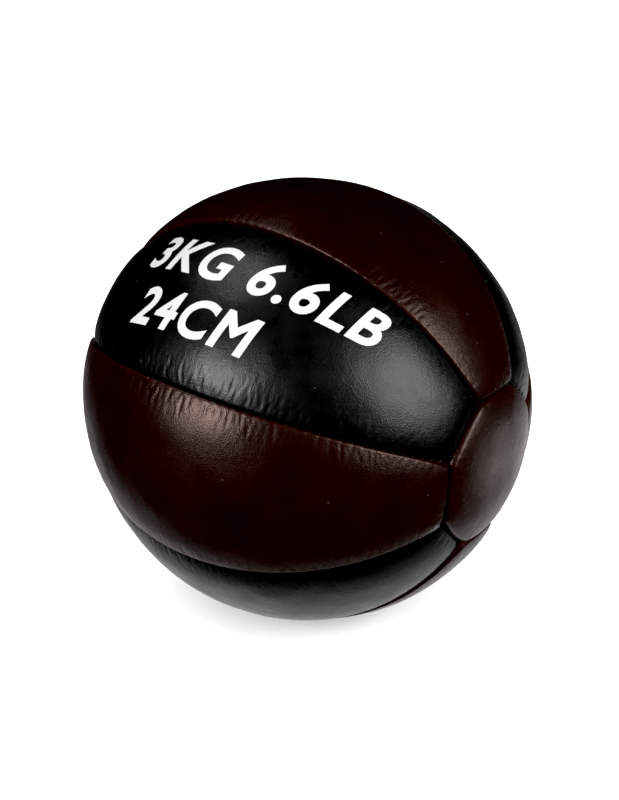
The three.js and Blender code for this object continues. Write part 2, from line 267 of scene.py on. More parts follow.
def pucker(along, distance, strength, seed):
    """Fine creases that run away from a seam, as strong as its gathering."""
    wander = 1.1 * MM * noise(np.stack([along / (9 * MM), distance / (5 * MM), 0 * along], -1), seed)
    place = along + wander
    fine = noise(np.stack([place / (1.35 * MM), distance / (7 * MM), 0 * along], -1), seed + 1)
    coarse = noise(np.stack([place / (2.9 * MM), distance / (10 * MM), 0 * along], -1), seed + 2)
    fade = np.exp(-distance / PUCKER_REACH) * np.clip(distance / (0.8 * MM), 0.25, 1)
    return PUCKER * strength * fade * (0.45 * fine + 0.75 * coarse)


def seams_round(polar, turn, in_cap):
    """For each seam round a place on a panel: its distance, the place along it, its gathering and a seed."""
    around_cap = (turn - FIRST_SEAM) * MEAN_RADIUS * math.sin(CAP_CORNER)
    cap_gathering = np.full_like(polar, 0.35)
    if in_cap:
        side = np.minimum(polar, math.pi - polar)
        distance = np.maximum((cap_edge(turn) - side) * MEAN_RADIUS, 0)
        return [(distance, around_cap, cap_gathering, 71)]
    before, after, right, left = border_distances(polar, turn)
    number = int(np.floor(np.median((turn - FIRST_SEAM) / GORE_TURN))) % GORE_COUNT + 1
    following = number % GORE_COUNT + 1
    along = polar * MEAN_RADIUS
    return [
        (before, along, gathering(number, polar), 100 + number),
        (after, along, gathering(following, polar), 200 + number),
        (right, around_cap, cap_gathering, 300 + number),
        (left, around_cap, cap_gathering, 400 + number),
    ]


def panel_relief(seams, pillow):
    """How far a place on a panel lies from the ball's crests before it settles. Gores fall away more at
    their ends, which are the last two of their four seams."""
    rise = np.ones_like(seams[0][0])
    for distance, *_ in seams:
        rise *= 1 - np.exp(-distance / PILLOW_REACH)
    relief = pillow * (SETTLE_START * rise - 1)
    for distance, *_ in seams[2:]:
        relief -= END_DROP * np.exp(-distance / END_REACH)
    return relief


def cover_point(polar, turn, depth, pillow, moved=0, in_cap=False):
    """A point of the leather at a depth under its outer face, and its distance from the nearest seam.
    moved is how far the simulation moved it outwards."""
    towards = direction(polar, turn)
    seams = seams_round(polar, turn, in_cap)
    relief = panel_relief(seams, pillow) + moved
    for distance, along, strength, seed in seams:
        relief += pucker(along, distance, strength, seed) - stitch_pull(along, distance)
    nearest = np.minimum.reduce([distance for distance, *_ in seams])
    uneven = noise(towards * MEAN_RADIUS / (24 * MM), 5) + 0.3 * noise(towards * MEAN_RADIUS / (9 * MM), 6)
    away = 1 - np.exp(-nearest / UNEVEN_REACH)
    radius = crest_radius(towards) + relief + UNEVEN * uneven * away - depth
    points = towards * radius[..., None]
    points[..., 2] = smooth_max(points[..., 2], REST_Z + depth, REST_SOFTNESS)
    return points, nearest


# ---- Settling the leather ----

def settle(points, towards, faces, pinned, gathered, seed):
    """Simulates a panel as cloth that is held along its seams and pushed out by the stuffing, and gives how
    far each point moves outwards. gathered, from 0 to 1, is how much spare leather there is at a point."""
    creases = np.random.default_rng(seed).normal(0, SETTLE_CREASE, len(points))
    creases[pinned] = 0
    start = (points + towards * creases[:, None]) * SETTLE_SCALE
    corners = [list(dict.fromkeys(face)) for face in faces.tolist()]
    a, b, c = (points[corner] for corner in corners[0][:3])
    if np.cross(b - a, c - a) @ towards[corners[0][0]] < 0:
        corners = [face[::-1] for face in corners]
    mesh = bpy.data.meshes.new("settling")
    mesh.from_pydata(start, [], corners)
    cloth_piece = add_object("settling", mesh)
    held = cloth_piece.vertex_groups.new(name="held")
    held.add(pinned.tolist(), 1, "REPLACE")
    plain = cloth_piece.vertex_groups.new(name="plain")
    for number, share in enumerate((1 - gathered).tolist()):
        plain.add([number], share, "REPLACE")
    solver = cloth_piece.modifiers.new("settling", "CLOTH")
    solver.point_cache.frame_start = 1
    solver.point_cache.frame_end = SETTLE_FRAMES
    solver.collision_settings.use_collision = False
    settings = solver.settings
    settings.effector_weights.gravity = 0
    settings.use_pressure = True
    settings.uniform_pressure_force = SETTLE_PRESSURE
    settings.vertex_group_mass = held.name
    settings.vertex_group_shrink = plain.name
    settings.shrink_min = -SETTLE_STRETCH
    settings.shrink_max = 0
    settings.tension_stiffness = settings.compression_stiffness = TENSION
    settings.shear_stiffness = SHEAR
    settings.bending_stiffness = BENDING
    for number in range(1, SETTLE_FRAMES + 1):
        bpy.context.scene.frame_set(number)
    settled = cloth_piece.evaluated_get(bpy.context.evaluated_depsgraph_get()).data
    end = np.zeros(len(points) * 3)
    settled.vertices.foreach_get("co", end)
    bpy.data.objects.remove(cloth_piece)
    bpy.context.scene.frame_set(1)
    moved = ((end.reshape(-1, 3) / SETTLE_SCALE - points) * towards).sum(axis=-1)
    return np.clip(moved, -SETTLE_CAP, SETTLE_CAP)


def lattice_start(polar, turn, pillow, in_cap):
    """A panel's lattice before it settles: its points, outward directions and gathering, in a row."""
    towards = direction(polar, turn)
    seams = seams_round(polar, turn, in_cap)
    radius = crest_radius(towards) + panel_relief(seams, pillow)
    gathered = np.zeros_like(polar)
    for distance, _, strength, _ in seams:
        gathered = np.maximum(gathered, strength * np.exp(-distance / SETTLE_REACH))
    points = (towards * radius[..., None]).reshape(-1, 3)
    return points, towards.reshape(-1, 3), gathered.reshape(-1)


def settle_gore(middle_turn, edge, seed):
    columns, rows = GORE_LATTICE
    across, along = np.meshgrid(np.linspace(-1, 1, columns), np.linspace(-1, 1, rows), indexing="ij")
    inset = SEAM_GAP + edge["roll"]
    polar, turn = gore_place(middle_turn, across, inset, along, inset, 0)
    points, towards, gathered = lattice_start(polar, turn, edge["pillow"], in_cap=False)
    pinned = border_ring(columns, rows)
    moved = settle(points, towards, grid_faces(columns, rows), pinned, gathered, seed)
    return moved.reshape(columns, rows)


def settle_cap(end):
    around, inward = CAP_LATTICE
    turns = np.arange(around) * 2 * math.pi / around
    turn, share = np.meshgrid(turns, np.linspace(1, 0, inward), indexing="ij")
    polar = share * (cap_edge(turn) - (SEAM_GAP + CAP_EDGE["roll"]) / MEAN_RADIUS)
    polar = polar if end > 0 else math.pi - polar
    points, towards, gathered = lattice_start(polar, turn, CAP_EDGE["pillow"], in_cap=True)
    number = np.arange(around * inward).reshape(around, inward)
    number[:, -1] = inward - 1  # a cap's middle is one point
    used, compact = np.unique(number.reshape(-1), return_inverse=True)
    faces = compact[grid_faces(around, inward, wraps=True)]
    pinned = compact[number[:, 0]]
    moved = settle(points[used], towards[used], faces, pinned, gathered[used], 50 + end)
    waves = np.fft.rfft(moved[compact].reshape(around, inward), axis=0)
    most = 2 * math.pi * MEAN_RADIUS * np.sin(polar.mean(axis=0)) / CAP_WAVE
    waves[np.arange(len(waves))[:, None] > most] = 0
    return np.fft.irfft(waves, n=around, axis=0)


def smooth_weights(places, count, wraps=False):
    """Weights that read evenly spaced values smoothly. places count in steps from the first value."""
    base = np.floor(places).astype(int)
    base = base if wraps else np.clip(base, 0, count - 2)
    t = places - base
    shares = [-t + 2 * t**2 - t**3, 2 - 5 * t**2 + 3 * t**3, t + 4 * t**2 - 3 * t**3, t**3 - t**2]
    weights = np.zeros((len(places), count))
    for step, share in enumerate(shares):
        at = base - 1 + step
        at = at % count if wraps else np.clip(at, 0, count - 1)
        np.add.at(weights, (np.arange(len(places)), at), share / 2)
    return weights


def read_lattice(values, first, second, wraps=False):
    """Smooth values between those of a lattice, at places counted in its steps."""
    rows = smooth_weights(first.reshape(-1), values.shape[0], wraps) @ values
    found = (rows * smooth_weights(second.reshape(-1), values.shape[1])).sum(axis=-1)
    return found.reshape(first.shape)


# ---- Closed meshes from grids of points ----

def new_piece(name, points, faces, attributes):
    """A mesh object. Points that coincide become one, and faces that shrink to nothing are left out."""
    keys = np.round(points / 1e-7).astype(np.int64)
    _, first, number = np.unique(keys, axis=0, return_index=True, return_inverse=True)
    number = number.reshape(-1)
    faces = number[np.asarray(faces)]
    corners = [list(dict.fromkeys(face)) for face in faces.tolist()]
    corners = [face for face in corners if len(face) > 2]
    mesh = bpy.data.meshes.new(name)
    mesh.from_pydata(points[first], [], corners)
    for key, values in attributes.items():
        layer = mesh.attributes.new(key, "FLOAT", "POINT")
        layer.data.foreach_set("value", np.asarray(values, dtype=np.float32)[first])
    mesh.polygons.foreach_set("use_smooth", np.full(len(mesh.polygons), True))
    mesh.update()
    return add_object(name, mesh)


def grid_faces(columns, rows, start=0, wraps=False):
    """Quads between the points of a grid that is stored column by column."""
    i = np.arange(columns if wraps else columns - 1)
    j = np.arange(rows - 1)
    i, j = [a.reshape(-1) for a in np.meshgrid(i, j, indexing="ij")]
    after = (i + 1) % columns
    return start + np.stack([i * rows + j, after * rows + j, after * rows + j + 1, i * rows + j + 1], axis=-1)


def edge_stations(roll):
    """Insets and depths up a turned-in edge, from the bottom of its seam allowance to its crest."""
    down = np.linspace(SEAM_DEPTH, roll, WALL_MESH + 1)[:-1]
    angles = np.linspace(0, QUARTER, ROLL_MESH + 1)
    insets = np.concatenate([np.full(len(down), SEAM_GAP), SEAM_GAP + roll * (1 - np.cos(angles))])
    depths = np.concatenate([down, roll * (1 - np.sin(angles))])
    return insets, depths


def stations_across(steps, crowding, roll):
    """Places from one edge of a panel (-1) to the other (1), with insets and depths. crowding draws the
    places between the two rolls towards the edges."""
    insets, depths = edge_stations(roll)
    even = np.linspace(-1, 1, steps + 1)[1:-1]
    middle = even + crowding * even * (1 - even * even)
    ends = np.ones(len(insets))
    places = np.concatenate([-ends, middle, ends])
    insets = np.concatenate([insets, np.full(len(middle), insets[-1]), insets[::-1]])
    depths = np.concatenate([depths, np.zeros(len(middle)), depths[::-1]])
    return places, insets, depths


def gore_place(middle_turn, across, across_inset, along, along_inset, depth):
    """The polar angle and turn of a place on a gore, where across and along run from -1 to 1. Its corners are
    rounded at the surface, and meet those of its neighbours down in the seam. The two angles depend on each
    other, so they are found in a few rounds."""
    corner = CORNER * np.maximum(1 - depth / CORNER_DEPTH, 0)
    offset = across * HALF_GORE
    side_corner = np.zeros_like(across)
    for _ in range(4):
        to_side = MEAN_RADIUS * math.sin(CAP_CORNER) * (HALF_GORE - np.abs(offset))
        end_corner = corner * np.exp(-to_side / CORNER_REACH)
        edge = cap_edge(middle_turn + offset)
        reach = QUARTER - edge - (along_inset + end_corner) / MEAN_RADIUS
        polar = QUARTER - along * reach
        to_end = MEAN_RADIUS * (np.minimum(polar, math.pi - polar) - edge)
        side_corner = corner * np.exp(-np.maximum(to_end, 0) / CORNER_REACH)
        offset = across * (HALF_GORE - (across_inset + side_corner) / (MEAN_RADIUS * np.sin(polar)))
    return polar, middle_turn + offset


def back_of_panel(border, place_back):
    """The inner face of a panel, as rings that shrink from its border to its middle."""
    rings = [place_back(border, share, first=(k == 0)) for k, share in enumerate(BACK_SHARES)]
    return np.stack(rings, axis=1)


def back_place(first):
    """The inset and depth of a ring of an inner face. The first ring is down beside the turned-in edge."""
    if first:
        return SEAM_GAP + LEATHER, SEAM_DEPTH
    return SEAM_GAP + LEATHER + BACK_INSET, LEATHER + BACK_GAP


def gore(name, number, edge):
    """One long leather panel. number is its seam's, from 1."""
    middle_turn = FIRST_SEAM + (number - 0.5) * GORE_TURN
    a, a_inset, a_depth = stations_across(GORE_MESH[0], GORE_CROWDING, edge["roll"])
    b, b_inset, b_depth = stations_across(GORE_MESH[1], 0.0, edge["roll"])
    columns, rows = len(a), len(b)
    grid = [np.broadcast_to(v[:, None], (columns, rows)) for v in (a, a_inset, a_depth)]
    grid += [np.broadcast_to(v[None, :], (columns, rows)) for v in (b, b_inset, b_depth)]
    across, across_inset, across_depth, along, along_inset, along_depth = grid
    settled = settle_gore(middle_turn, edge, number)

    def moved(across, along):
        steps = [(place + 1) / 2 * (count - 1) for place, count in zip((across, along), GORE_LATTICE)]
        return read_lattice(settled, *steps)

    depth = np.maximum(across_depth, along_depth)
    polar, turn = gore_place(middle_turn, across, across_inset, along, along_inset, depth)
    front, nearest = cover_point(polar, turn, depth, edge["pillow"], moved(across, along))
    ring = border_ring(columns, rows)
    at = (across.reshape(-1)[ring], along.reshape(-1)[ring])

    def place_back(border, share, first):
        inset, depth = back_place(first)
        across, along = border[0] * share, border[1] * share
        polar, turn = gore_place(middle_turn, across, inset, along, inset, depth)
        return cover_point(polar, turn, np.full_like(polar, depth), edge["pillow"], moved(across, along))[0]

    back = back_of_panel(at, place_back)
    return join_faces(name, front, nearest, ring, back, wraps=False)


def border_ring(columns, rows):
    """The numbers of a grid's border points, once round."""
    number = np.arange(columns * rows).reshape(columns, rows)
    return np.concatenate([number[:-1, 0], number[-1, :-1], number[:0:-1, -1], number[0, :0:-1]])


def join_faces(name, front, nearest, ring, back, wraps):
    """A closed panel from its front grid and the rings of its back, which start beside the front's border."""
    columns, rows = front.shape[:2]
    faces = grid_faces(columns, rows, wraps=wraps)
    start = columns * rows
    count, depth = back.shape[:2]
    back_faces = grid_faces(count, depth, start, wraps=True)
    after = (np.arange(count) + 1) % count
    rim = np.stack([ring, start + np.arange(count) * depth, start + after * depth, ring[after]], axis=-1)
    points = np.concatenate([front.reshape(-1, 3), back.reshape(-1, 3)])
    distance = np.concatenate([nearest.reshape(-1), np.zeros(count * depth)])
    piece = new_piece(name, points, np.concatenate([faces, back_faces, rim]), {"seam_distance": distance})
    face_outwards(piece)
    return piece


def face_outwards(piece):
    """Makes every face of a closed piece look outwards."""
    work = bmesh.new()
    work.from_mesh(piece.data)
    bmesh.ops.recalc_face_normals(work, faces=work.faces)
    work.to_mesh(piece.data)
    work.free()


def end_cap(name, end):
    """One octagonal end panel. end is 1 for the right cap, towards +X, and -1 for the left one."""
    turns = FIRST_SEAM + np.arange(GORE_COUNT * CAP_SIDE_MESH) * GORE_TURN / CAP_SIDE_MESH
    insets, depths = edge_stations(CAP_EDGE["roll"])
    inward = np.linspace(1, 0, CAP_INWARD_MESH + 1)[1:]
    inward = inward - CAP_CROWDING * inward * (1 - inward)
    share = np.concatenate([np.ones(len(insets)), inward])
    inset = np.concatenate([insets, np.full(len(inward), insets[-1])])
    depth = np.concatenate([depths, np.zeros(len(inward))])
    shape = (len(turns), len(share))
    turn = np.broadcast_to(turns[:, None], shape)
    polar = share[None, :] * (cap_edge(turn) - inset[None, :] / MEAN_RADIUS)
    polar = polar if end > 0 else math.pi - polar
    depth = np.broadcast_to(depth[None, :], shape)
    settled = settle_cap(end)
    around, steps = CAP_LATTICE

    def moved(turn, share):
        return read_lattice(settled, turn / (2 * math.pi) * around, (1 - share) * (steps - 1), wraps=True)

    rise = moved(turn, np.broadcast_to(share[None, :], shape))
    front, nearest = cover_point(polar, turn, depth, CAP_EDGE["pillow"], rise, in_cap=True)

    def place_back(border, share, first):
        inset, depth = back_place(first)
        polar = share * (cap_edge(border) - inset / MEAN_RADIUS)
        polar = polar if end > 0 else math.pi - polar
        depth = np.full_like(polar, depth)
        rise = moved(border, np.full_like(border, share))
        return cover_point(polar, border, depth, CAP_EDGE["pillow"], rise, in_cap=True)[0]

    ring = np.arange(len(turns)) * len(share)
    return join_faces(name, front, nearest, ring, back_of_panel(turns, place_back), wraps=True)


# ---- Stitches ----

STITCH_SIDES = 6
STITCH_TAPER = np.array([0.55, 1, 1, 1, 0.55])  # a stitch's thickness along it
STITCH_BOW = 0.25 * MM
STITCH_DEPTH = 1.1 * MM  # under the edges of the black panels
STITCH_SLANT = 0.5 * MM
CAP_STITCH_SLANT = 0.004  # in radians of turn
# The stitches that a machine makes, and the closing ones that are sewn by hand.
FINE_STITCH = {"pitch": STITCH_PITCH, "radius": 0.33 * MM, "reach": 0.8 * MM}
COARSE_STITCH = {"pitch": 7.5 * MM, "radius": 0.45 * MM, "reach": 1.3 * MM}
CLOSING_SIDES = 2  # how many of the left cap's sides are sewn by hand


def stitches(name, starts, ends, radius):
    """Short threads, each a closed tube that bows down a little between its two holes."""
    shares = np.linspace(0, 1, len(STITCH_TAPER))
    bow = np.sin(shares * math.pi) * STITCH_BOW
    path = starts[:, None, :] + (ends - starts)[:, None, :] * shares[None, :, None]
    out = path / np.linalg.norm(path, axis=-1, keepdims=True)
    path = path - out * bow[None, :, None]
    run = (ends - starts) / np.linalg.norm(ends - starts, axis=-1, keepdims=True)
    side = np.cross(run[:, None, :], out)
    side /= np.linalg.norm(side, axis=-1, keepdims=True)
    up = np.cross(side, run[:, None, :])
    angles = np.arange(STITCH_SIDES) * 2 * math.pi / STITCH_SIDES
    thick = STITCH_TAPER * radius
    ring = side[:, :, None, :] * np.cos(angles)[None, None, :, None]
    ring = ring + up[:, :, None, :] * np.sin(angles)[None, None, :, None]
    points = path[:, :, None, :] + ring * thick[None, :, None, None]
    count, length = points.shape[:2]
    faces = []
    lids = []
    for k in range(count):
        base = k * length * STITCH_SIDES
        for i in range(length - 1):
            low, high = base + i * STITCH_SIDES, base + (i + 1) * STITCH_SIDES
            for s in range(STITCH_SIDES):
                after = (s + 1) % STITCH_SIDES
                faces.append([low + s, low + after, high + after, high + s])
        last = base + (length - 1) * STITCH_SIDES
        lids.append([base + s for s in reversed(range(STITCH_SIDES))])
        lids.append([last + s for s in range(STITCH_SIDES)])
    mesh = bpy.data.meshes.new(name)
    mesh.from_pydata(points.reshape(-1, 3), [], faces + lids)
    mesh.polygons.foreach_set("use_smooth", np.full(len(mesh.polygons), True))
    piece = add_object(name, mesh)
    face_outwards(piece)
    return piece


def gore_stitches(name, number):
    """The stitches of a long seam. They lie down in the groove, a little slanted."""
    turn = FIRST_SEAM + (number - 1) * GORE_TURN
    first = math.ceil((CAP_CORNER * MEAN_RADIUS + 2 * MM) / STITCH_PITCH)
    last = math.floor(((math.pi - CAP_CORNER) * MEAN_RADIUS - 2 * MM) / STITCH_PITCH)
    polar = np.arange(first, last + 1) * STITCH_PITCH / MEAN_RADIUS
    sideways = FINE_STITCH["reach"] / (MEAN_RADIUS * np.sin(polar))
    slant = STITCH_SLANT / MEAN_RADIUS
    ends = []
    for sign in (-1, 1):
        towards = direction(polar + sign * slant, turn + sign * sideways)
        radius = crest_radius(towards) - BLACK_EDGE["pillow"] - STITCH_DEPTH
        ends.append(towards * radius[:, None])
    return stitches(name, ends[0], ends[1], FINE_STITCH["radius"])


def cap_stitches(name, end, first_side, sides, pitch, radius, reach):
    """The stitches round part of a cap, counted in sides from the first seam."""
    arc = MEAN_RADIUS * math.sin(CAP_CORNER)
    around = sides * GORE_TURN * arc
    count = int(around / pitch)
    turn = FIRST_SEAM + first_side * GORE_TURN + (np.arange(count) + 0.5) * pitch / arc
    edge = cap_edge(turn)
    ends = []
    for sign in (-1, 1):
        polar = edge + sign * reach / MEAN_RADIUS
        towards = direction(polar if end > 0 else math.pi - polar, turn + sign * CAP_STITCH_SLANT)
        distance = crest_radius(towards) - BLACK_EDGE["pillow"] - END_DROP - STITCH_DEPTH
        ends.append(towards * distance[:, None])
    return stitches(name, ends[0], ends[1], radius)


# ---- The printed weight ----

PRINT_RISE = 0.07 * MM  # how far the film of ink stands above the leather
PRINT_THICKNESS = 2.5 * PRINT_RISE
WELL_OUTSIDE = 0.2  # from the ball's centre
PRINT_CELL = 1.6 * MM  # the lettering is cut this small, to follow the leather
PRINT_HEIGHT = 20 * MM  # of a capital
CAPITAL_SHARE = 0.72  # of the font's size
PRINT_SLANT = 0.22
PRINT_SPACING = 1.13
PRINT_BOLD = 0.75 * MM  # how far the strokes are widened on each side
PRINT_WELD = 0.15 * MM
# Each line's words, its left end and its base, from the middle of the panel.
PRINT_LINES = [("3KG 6.6LB", -58 * MM, 9 * MM), ("24CM", -48 * MM, -22 * MM)]


def embolden(work, amount):
    """Moves the outline of flat lettering outwards by an amount."""
    moves = {}
    for v in work.verts:
        normals = []
        for edge in v.link_edges:
            if edge.is_boundary:
                run = (edge.verts[1].co - edge.verts[0].co).normalized()
                normal = Vector((run.y, -run.x, 0))
                inside = edge.link_faces[0].calc_center_median() - edge.verts[0].co
                normals.append(-normal if normal.dot(inside) > 0 else normal)
        if len(normals) == 2:
            mitre = (normals[0] + normals[1]) / max(1 + normals[0].dot(normals[1]), 0.25)
            moves[v] = mitre * amount
    for v, move in moves.items():
        v.co += move


def print_line(text, left, base):
    """A line of lettering as flat 2-D cells: its points and triangles."""
    curve = bpy.data.curves.new("line", "FONT")
    curve.body = text
    curve.size = PRINT_HEIGHT / CAPITAL_SHARE
    curve.shear = PRINT_SLANT
    curve.space_character = PRINT_SPACING
    curve.resolution_u = 6
    writing = add_object("line", curve)
    bpy.context.view_layer.update()
    mesh = bpy.data.meshes.new_from_object(writing.evaluated_get(bpy.context.evaluated_depsgraph_get()))
    bpy.data.objects.remove(writing)
    work = bmesh.new()
    work.from_mesh(mesh)
    bpy.data.meshes.remove(mesh)
    bmesh.ops.remove_doubles(work, verts=work.verts, dist=PRINT_WELD)
    embolden(work, PRINT_BOLD)
    bmesh.ops.translate(work, verts=work.verts, vec=(left, base, 0))
    for axis in (0, 1):
        places = [v.co[axis] for v in work.verts]
        at = math.ceil(min(places) / PRINT_CELL) * PRINT_CELL
        while at < max(places):
            normal = Vector((1, 0, 0)) if axis == 0 else Vector((0, 1, 0))
            geometry = work.verts[:] + work.edges[:] + work.faces[:]
            bmesh.ops.bisect_plane(work, geom=geometry, plane_co=normal * at, plane_no=normal)
            at += PRINT_CELL
    bmesh.ops.triangulate(work, faces=work.faces)
    return work


def printed_weight(name, cover):
    """The lettering as a thin film that lies on its panel."""
    tree = BVHTree.FromObject(cover, bpy.context.evaluated_depsgraph_get())
    middle_turn = FIRST_SEAM + HALF_GORE
    whole = bmesh.new()
    for text, left, base in PRINT_LINES:
        line = print_line(text, left, base)
        mesh = bpy.data.meshes.new("line")
        line.to_mesh(mesh)
        line.free()
        whole.from_mesh(mesh)
        bpy.data.meshes.remove(mesh)
    for v in whole.verts:
        polar = QUARTER - v.co.x / MEAN_RADIUS
        turn = middle_turn - v.co.y / MEAN_RADIUS / math.sin(polar)
        towards = Vector(direction(np.array(polar), np.array(turn)))
        hit = tree.ray_cast(towards * WELL_OUTSIDE, -towards)
        v.co = hit[0] + towards * PRINT_RISE
    extruded = bmesh.ops.extrude_face_region(whole, geom=whole.faces[:])
    for item in extruded["geom"]:
        if isinstance(item, bmesh.types.BMVert):
            item.co -= item.co.normalized() * PRINT_THICKNESS
    bmesh.ops.recalc_face_normals(whole, faces=whole.faces)
    mesh = bpy.data.meshes.new(name)
    whole.to_mesh(mesh)
    whole.free()
    return add_object(name, mesh)


# ---- Materials ----

class Shader:
    """A material's node tree, with short calls to add and link nodes."""

    def __init__(self, name):
        self.material = bpy.data.materials.new(name)
        self.material.use_nodes = True
        self.tree = self.material.node_tree
        self.tree.nodes.clear()
        self.surface = self.add("ShaderNodeBsdfPrincipled")
        output = self.add("ShaderNodeOutputMaterial")
        self.tree.links.new(self.surface.outputs[0], output.inputs["Surface"])
        self.place = self.add("ShaderNodeTexCoord").outputs["Object"]

    def add(self, kind, **settings):
        node = self.tree.nodes.new(kind)
        for key, value in settings.items():
            setattr(node, key, value)
        return node

    def put(self, value, socket):
        """Links value to a socket if it is an output, or sets it."""
        if isinstance(value, bpy.types.NodeSocket):
            self.tree.links.new(value, socket)
        else:
            socket.default_value = value

    def set(self, socket, value):
        """Gives one of the surface's own sockets its value."""
        self.put(value, self.surface.inputs[socket])

    def math(self, operation, a, b=0.0, clamp=False):
        node = self.add("ShaderNodeMath", operation=operation, use_clamp=clamp)
        self.put(a, node.inputs[0])
        self.put(b, node.inputs[1])
        return node.outputs[0]

    def noise(self, size, detail=2.0, roughness=0.5, distortion=0.0):
        """Noise from 0 to 1 with features of a size in metres."""
        node = self.add("ShaderNodeTexNoise")
        self.put(self.place, node.inputs["Vector"])
        node.inputs["Scale"].default_value = 1 / size
        node.inputs["Detail"].default_value = detail
        node.inputs["Roughness"].default_value = roughness
        node.inputs["Distortion"].default_value = distortion
        return node.outputs[0]

    def cells(self, size):
        node = self.add("ShaderNodeTexVoronoi")
        self.put(self.place, node.inputs["Vector"])
        node.inputs["Scale"].default_value = 1 / size
        return node.outputs["Distance"]

    def ramp(self, value, low, high, to_low=0.0, to_high=1.0):
        node = self.add("ShaderNodeMapRange")
        self.put(value, node.inputs["Value"])
        for socket, number in zip(("From Min", "From Max", "To Min", "To Max"), (low, high, to_low, to_high)):
            node.inputs[socket].default_value = number
        return node.outputs["Result"]

    def mix(self, share, a, b):
        node = self.add("ShaderNodeMix", data_type="RGBA")
        self.put(share, node.inputs["Factor"])
        self.put(a, node.inputs["A"])
        self.put(b, node.inputs["B"])
        return node.outputs["Result"]

    def bump(self, height, depth, normal=None):
        node = self.add("ShaderNodeBump")
        self.put(height, node.inputs["Height"])
        node.inputs["Distance"].default_value = depth
        if normal is not None:
            self.put(normal, node.inputs["Normal"])
        return node.outputs["Normal"]

    def attribute(self, name):
        return self.add("ShaderNodeAttribute", attribute_name=name).outputs["Fac"]


def leather(name, dark, light, worn, gloss_tint):
    """Satin leather with a fine grain, soft creases, patchy colour and seam edges painted lighter: rubbed
    wear, and on the brown also a painted highlight along the edge lip.
    """
    shader = Shader(name)
    patches = shader.noise(30 * MM, detail=4, roughness=0.6)
    grain = shader.cells(0.75 * MM)
    distance = shader.attribute("seam_distance")
    colour = shader.mix(shader.ramp(patches, 0.35, 0.7), dark, light)
    # Seam edges are painted lighter: partly rubbed wear, and on the brown leather partly a painted highlight
    # where the edge lip would catch the light.
    edge = shader.ramp(distance, 0.6 * MM, 3.2 * MM, 1.0, 0.0)
    rubbing = shader.ramp(shader.noise(4 * MM, detail=5), 0.35, 0.65)
    edge_wear_and_highlight = shader.math("MULTIPLY", edge, rubbing, clamp=True)
    colour = shader.mix(edge_wear_and_highlight, colour, worn)
    flecks = shader.ramp(shader.cells(11 * MM), 0.02, 0.035, 0.6, 0.0)
    shader.set("Base Color", shader.mix(flecks, colour, (0.25, 0.21, 0.18, 1)))
    smudge = shader.noise(12 * MM, detail=5, roughness=0.65)
    roughness = shader.ramp(smudge, 0.3, 0.75, 0.24, 0.37)
    shader.set("Roughness", roughness)
    shader.set("IOR", 1.43)
    shader.set("Specular Tint", gloss_tint)
    creases = shader.noise(5.5 * MM, detail=3, roughness=0.55, distortion=0.8)
    soft = shader.bump(creases, 0.1 * MM)
    pores = shader.noise(0.55 * MM, detail=3, roughness=0.65)
    grained = shader.bump(grain, 0.06 * MM, soft)
    shader.set("Normal", shader.bump(pores, 0.05 * MM, grained))
    return shader.material


def ink(name):
    """Screen-printed white, with the leather's grain showing through."""
    shader = Shader(name)
    worn = shader.ramp(shader.noise(1.4 * MM, detail=4, roughness=0.7), 0.66, 0.8)
    colour = shader.mix(worn, (0.93, 0.93, 0.92, 1), (0.7, 0.69, 0.67, 1))
    shader.set("Base Color", colour)
    shader.set("Roughness", shader.ramp(worn, 0, 1, 0.42, 0.6))
    shader.set("Normal", shader.bump(shader.cells(0.95 * MM), 0.05 * MM))
    return shader.material


def cloth(name, dark, light, thread):
    """Plain woven cloth: two sets of threads that cross."""
    shader = Shader(name)
    split = shader.add("ShaderNodeSeparateXYZ")
    shader.put(shader.place, split.inputs[0])
    waves = []
    for axis in ("X", "Z"):
        waves.append(shader.math("SINE", shader.math("MULTIPLY", split.outputs[axis], 2 * math.pi / thread)))
    weave = shader.math("MULTIPLY", waves[0], waves[1])
    fuzz = shader.noise(0.8 * MM, detail=4, roughness=0.7)
    height = shader.math("ADD", shader.math("MULTIPLY", weave, 0.5), fuzz)
    tone = shader.math("MULTIPLY", shader.ramp(weave, -1, 1, 0.3, 1), shader.ramp(fuzz, 0.2, 0.8, 0.5, 1))
    shader.set("Base Color", shader.mix(tone, dark, light))
    shader.set("Roughness", 0.92)
    shader.set("Sheen Weight", 0.25)
    shader.set("Normal", shader.bump(height, 0.35 * MM))
    return shader.material


def thread(name, dark, light, roughness):
    """Twisted thread with a fine fibre grain."""
    shader = Shader(name)
    fibre = shader.noise(0.35 * MM, detail=3, roughness=0.6, distortion=1.5)
    shader.set("Base Color", shader.mix(shader.ramp(fibre, 0.3, 0.7), dark, light))
    shader.set("Roughness", shader.ramp(fibre, 0.3, 0.7, roughness, roughness + 0.2))
    shader.set("Normal", shader.bump(fibre, 0.12 * MM))
    return shader.material


def flock(name, dark, light):
    """Pressed textile waste: matted fibres in mixed greys."""
    shader = Shader(name)
    clumps = shader.noise(9 * MM, detail=6, roughness=0.75, distortion=1.2)
    fibre = shader.noise(1.1 * MM, detail=5, roughness=0.8, distortion=3)
    shader.set("Base Color", shader.mix(shader.ramp(clumps, 0.3, 0.7), dark, light))
    shader.set("Roughness", 0.97)
    shader.set("Sheen Weight", 0.3)
    lumpy = shader.bump(clumps, 2.5 * MM)
    shader.set("Normal", shader.bump(fibre, 0.7 * MM, lumpy))
    return shader.material


def grit(name):
    """Loose iron grit: dark grains with some rust on them."""
    shader = Shader(name)
    grains = shader.cells(1.3 * MM)
    rust = shader.ramp(shader.noise(6 * MM, detail=5, roughness=0.7), 0.5, 0.7)
    shader.set("Base Color", shader.mix(rust, (0.09, 0.085, 0.08, 1), (0.2, 0.075, 0.03, 1)))
    shader.set("Metallic", shader.ramp(rust, 0, 1, 0.7, 0.1))
    shader.set("Roughness", shader.ramp(grains, 0, 0.8, 0.45, 0.8))
    shader.set("Normal", shader.bump(grains, 0.8 * MM))
    return shader.material


